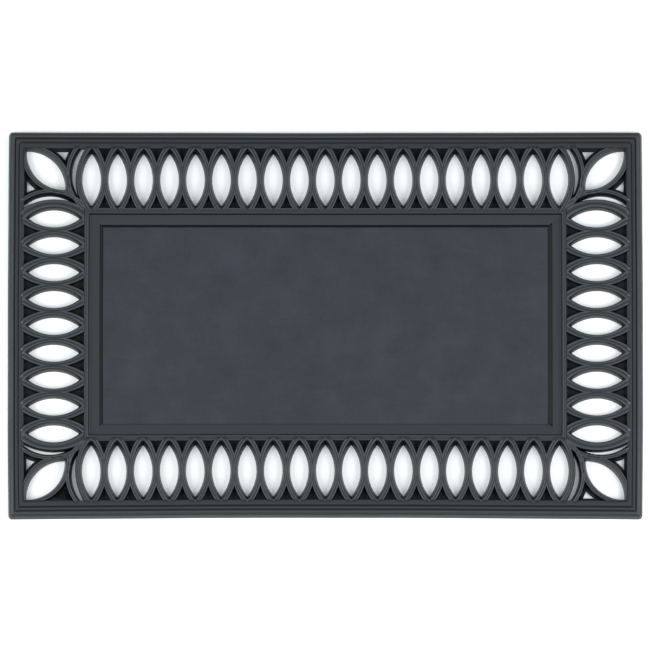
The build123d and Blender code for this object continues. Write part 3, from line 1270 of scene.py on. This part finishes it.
        # places across a floor, and how far it rises there towards the rings
        shares = (-1.0, -0.9, -0.72, -0.4, 0.0, 0.4, 0.72, 0.9, 1.0)
        lift = (0.55, 0.22, 0.05, 0.0, 0.0, 0.0, 0.05, 0.22, 0.55)
        end_rise, end_width, steps = 0.4, 1.2, 10
        for sign in (1, -1):
            top, under = [], []
            for k in range(steps + 1):
                y = start + (end - start) * k / steps
                half = max(pitch / 2 - self._wall(y, self.pocket), 0.05) + self.overlap
                near = max(0.0, 1 - (end - y) / end_width) * end_rise
                for row, level in ((top, self.pocket), (under, self.section.skirt)):
                    row.append(list(range(len(points), len(points) + len(shares))))
                    for share, rise in zip(shares, lift):
                        z = level + (max(rise, near) if level == self.pocket else 0.0)
                        points.append((share * half, sign * y, z))
            faces += skin(top, False) + skin(under, False)
            for place in (-1, 0):
                faces += band_between([row[place] for row in top], [row[place] for row in under], False)
                faces += band_between(top[place], under[place], False)
        return mesh_object("floor_pair", points, faces)


@dataclass
class CornerWork:
    """A leaf on each corner's diagonal, two arcs that flank it, and the pocket floors between.

    Corners are made at the front left, with X and Y counted in from lines just outside the openwork.
    """

    shop: Workshop
    sweep: SweepRecipe
    rim: float = 19.0             # from the lines that X and Y count from to the openwork
    leaf_centre: float = 45.1
    leaf_radius: float = 47.9
    leaf_half: float = 16.4
    leaf_band: float = 4.7
    arc_far: float = 126.8
    arc_near: float = 50.5
    arc_inner: float = 53.3
    arc_outer: float = 57.8
    arc_start: float = 14.6       # how near to one of those lines the arcs' tips come
    arc_end: float = 2.5          # how far they run into the inner rails
    arc_steps: int = 44
    # slope and ease with which a piece sinks
    over_rim: tuple[float, float] = (0.62, 1.0)
    into_rim: tuple[float, float] = (2.4, 0.3)
    into_rail: tuple[float, float] = (1.5, 0.4)
    section: BandSection = field(default_factory=BandSection)
    arc_section: BandSection = field(default_factory=lambda: BandSection(inner_lean=3.2))

    def build(self) -> None:
        """Make and deliver leaf, arcs and pocket floors of each corner."""
        for corner in Corner:
            leaf = self._leaf(f"corner_leaf_ring_{corner.label}")
            self._place(leaf, corner)
            self.shop.deliver(leaf, Slot.OPENWORK, f"corner_leaf_{corner.label}")
            for run in ("row", "column"):
                arc = self._arc(f"corner_arc_band_{corner.label}_{run}", run == "column")
                self._place(arc, corner)
                self.shop.deliver(arc, Slot.OPENWORK, f"corner_arc_{corner.label}_{run}")
            self._floors(corner)

    def _place(self, piece: bpy.types.Object, corner: Corner) -> None:
        """Take a piece from the front left corner's measures to its own corner.

        Args:
            piece: the piece, in metres from the lines that X and Y count from.
            corner: where it goes.
        """
        layout = self.shop.layout
        lines = [half - rim + self.rim for half, rim in zip(layout.half, layout.rim)]
        for vertex in piece.data.vertices:
            x, y = (-sign * (line * MM - place)
                    for sign, line, place in zip(corner.value, lines, vertex.co))
            vertex.co = (x, y, vertex.co.z)
        tidy_mesh(piece.data)

    def _sunk(self, x: float, y: float, z: float, slow: bool) -> float:
        """Height of a corner piece's point where it runs over the rim or into the inner rails.

        Args:
            x: distance in from one line.
            y: distance in from the other.
            z: height before.
            slow: the piece rides over the rim's band instead of merging into it.

        Returns:
            The height after.
        """
        drop = sinking(self.rim - min(x, y), *(self.over_rim if slow else self.into_rim))
        inside = max(x, y) - self.rim - self.shop.layout.lattice
        return max(z - max(drop, sinking(inside, *self.into_rail)), self.section.skirt)

    def _leaf(self, name: str) -> bpy.types.Object:
        """Make the leaf-shaped ring on the diagonal.

        Args:
            name: name of the piece.

        Returns:
            The leaf, in metres from the lines that X and Y count from.
        """
        band = HalfBand(self.leaf_radius, self.leaf_half, self.leaf_radius + self.leaf_band,
                        self.leaf_half + self.leaf_band, self.section)
        half = band.build(None)
        points, faces = two_sided(half, half)
        diagonal = math.sqrt(0.5)
        spots = []
        for x, y, z in points:
            px, py = self.leaf_centre + (x + y) * diagonal, self.leaf_centre + (y - x) * diagonal
            spots.append((px, py, self._sunk(px, py, z, False)))
        return mesh_object(name, spots, faces)

    def _arc(self, name: str, swapped: bool) -> bpy.types.Object:
        """Make one arc, from over the rim's band to the inner rails' corner.

        Args:
            name: name of the piece.
            swapped: exchanges X and Y, for the arc beside the column.

        Returns:
            The arc, in metres from the lines that X and Y count from.
        """
        middle = (self.arc_inner + self.arc_outer) / 2
        width = self.arc_outer - self.arc_inner
        start = math.asin((self.arc_near - self.arc_start) / middle)
        inner = self.rim + self.shop.layout.lattice
        end = math.asin((inner + self.arc_end - self.arc_near) / middle)
        outline = [(fixed + share * width - width / 2, z) for fixed, share, z in self.arc_section.chain()]
        profile = bpy.data.meshes.new("band_section")
        edges = [(k, (k + 1) % len(outline)) for k in range(len(outline))]
        profile.from_pydata([(s * MM, -z * MM, 0.0) for s, z in outline], edges, [])
        holder = bpy.data.objects.new("band_section", profile)
        piece = self.sweep.run(name, {
            "Section": holder, "Radius": middle * MM, "Start": math.pi - end, "Sweep": start + end,
            "Steps": self.arc_steps, "Centre": (self.arc_far * MM, self.arc_near * MM, 0.0),
            "Material": self.shop.finishes.materials[Slot.OPENWORK]})
        bpy.data.objects.remove(holder)
        for vertex in piece.data.vertices:
            x, y, z = vertex.co / MM
            z = self._sunk(x, y, z, True)
            vertex.co = Vector((y, x, z) if swapped else (x, y, z)) * MM
        return piece

    def _floors(self, corner: Corner) -> None:
        """Copy, weld and deliver the floors of a corner's two pockets.

        Args:
            corner: the corner.
        """
        node = f"corner_pockets_{corner.label}"
        name = f"corner_pocket_webs_{corner.label}"
        piece = bpy.data.objects.new(name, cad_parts[node].data.copy())
        piece.data.name = name
        tidy_mesh(piece.data)
        self.shop.deliver(piece, Slot.POCKET, node)


# ---- underside ----------------------------------------------------------------------------------
@dataclass
class Underside:
    """Round studs that carry the panel."""

    shop: Workshop
    radius: float = 4.5
    height: float = 1.5
    pitch_x: float = 54.0
    pitch_y: float = 50.0
    columns: int = 10
    rows: int = 5
    sides: int = 24

    def build(self) -> None:
        """Make and deliver the studs."""
        stud = self._stud()
        piece = StudRecipe().run("underside_studs", {
            "Stud": stud, "Length": self.pitch_x * (self.columns - 1) * MM,
            "Width": self.pitch_y * (self.rows - 1) * MM, "Columns": self.columns, "Rows": self.rows,
            "Material": self.shop.finishes.materials[Slot.STUD]})
        tidy_mesh(piece.data)
        bpy.data.objects.remove(stud)
        self.shop.deliver(piece, Slot.STUD, "grip_studs")

    def _stud(self) -> bpy.types.Object:
        """Turn one stud: a short round with a rounded foot and a fillet at the panel.

        Returns:
            The stud, not in the scene.
        """
        radius, height = self.radius, self.height
        outline = [(0.0, 0.0), (radius - 0.9, 0.0), (radius - 0.35, 0.12), (radius - 0.1, 0.45),
                   (radius - 0.05, height - 0.3), (radius, height), (0.0, height)]
        points: list[Point] = []
        for k in range(self.sides):
            angle = 2 * math.pi * k / self.sides
            points += [(r * math.cos(angle), r * math.sin(angle), z) for r, z in outline]
        rings = [list(range(k, k + len(outline))) for k in range(0, len(points), len(outline))]
        return mesh_object("stud", points, skin(rings + rings[:1], False))


# ---- studio -------------------------------------------------------------------------------------
@dataclass
class Studio:
    """Pale floor, a softbox at each end, and a camera nearly overhead."""

    layout: MatLayout
    tilt: float = 10.2            # degrees from straight down, towards the front edge
    distance: float = 30.0        # metres, long enough that the far edge looks as wide as the near one
    view_width: float = 0.7793    # metres across the view at the mat
    shift: float = -0.0004        # metres that the camera stands to the right
    cool: Point = (0.94, 0.98, 1.0)     # colour of all the light
    sky: float = 0.64             # strength of the light from all round
    glow: float = 0.06            # what the floor adds, so that it reads white through the openings
    floor_half: float = 4000.0
    box_place: Point = (1.9, -0.55, 1.75)    # metres, the right softbox; the left one mirrors it
    box_size: float = 1.4         # metres
    left_power: float = 47.5      # watts
    right_power: float = 55.5

    def build(self) -> None:
        """Make floor, lights, world and camera."""
        self._floor()
        self._world()
        x, y, z = self.box_place
        self._light("left_softbox", (-x, y, z), self.left_power)
        self._light("right_softbox", (x, y, z), self.right_power)
        self._camera()
        bpy.context.scene.view_settings.view_transform = "Standard"

    def _floor(self) -> None:
        """Lay a matt pale floor that glows a little."""
        half = self.floor_half
        floor = mesh_object("studio_floor", [(-half, -half, 0), (half, -half, 0), (half, half, 0),
                                             (-half, half, 0)], [(0, 1, 2, 3)])
        bpy.context.scene.collection.objects.link(floor)
        material = bpy.data.materials.new("studio_paper_white")
        material.use_nodes = True
        tree = material.node_tree
        tree.nodes.clear()
        paper = add_node(tree, "ShaderNodeBsdfPrincipled", {
            "Base Color": linear("#F4F5F5"), "Roughness": 0.9, "Specular IOR Level": 0.1,
            "Emission Color": linear("#FBFDFD"), "Emission Strength": self.glow})
        add_node(tree, "ShaderNodeOutputMaterial", {"Surface": paper})
        floor.data.materials.append(material)

    def _world(self) -> None:
        """Surround the mat with even, faintly cool light."""
        world = bpy.data.worlds.new("studio_white")
        world.use_nodes = True
        inputs = world.node_tree.nodes["Background"].inputs
        inputs["Color"].default_value = (*self.cool, 1.0)
        inputs["Strength"].default_value = self.sky
        bpy.context.scene.world = world

    def _light(self, name: str, place: Point, power: float) -> None:
        """Hang a large square light that faces the mat.

        Args:
            name: name of the light.
            place: where it hangs, in metres.
            power: watts.
        """
        data = bpy.data.lights.new(name, "AREA")
        data.size = self.box_size
        data.energy = power
        data.color = self.cool
        light = bpy.data.objects.new(name, data)
        light.location = place
        light.rotation_mode = "QUATERNION"
        light.rotation_quaternion = (-Vector(place)).to_track_quat("-Z", "Y")
        bpy.context.scene.collection.objects.link(light)

    def _camera(self) -> None:
        """Look down at the mat from far off, a little from the front."""
        data = bpy.data.cameras.new("camera")
        data.lens = data.sensor_width * self.distance / self.view_width
        data.clip_start = 1.0
        data.clip_end = 200.0
        camera = bpy.data.objects.new("camera", data)
        tilt = math.radians(self.tilt)
        back = Vector((0.0, -math.sin(tilt), math.cos(tilt)))
        target = Vector((self.shift, 0.0, self.layout.crest * MM / 2))
        camera.location = target + back * self.distance
        camera.rotation_mode = "QUATERNION"
        camera.rotation_quaternion = (-back).to_track_quat("-Z", "Y")
        bpy.context.scene.collection.objects.link(camera)
        bpy.context.scene.camera = camera


def main() -> None:
    """Build the studio and every part of the mat."""
    logging.basicConfig(level=logging.INFO, format="%(name)s: %(message)s", stream=sys.stdout)
    layout = MatLayout.from_frame()
    Studio(layout).build()
    finishes = Finishes()
    finishes.build()
    shop = Workshop(layout, Lie(layout), finishes)
    OuterRim(shop).build()
    LensRows(shop, RowRecipe()).build()
    CornerWork(shop, SweepRecipe()).build()
    Recess(shop).build()
    Underside(shop).build()


if __name__ == "__main__":
    main()
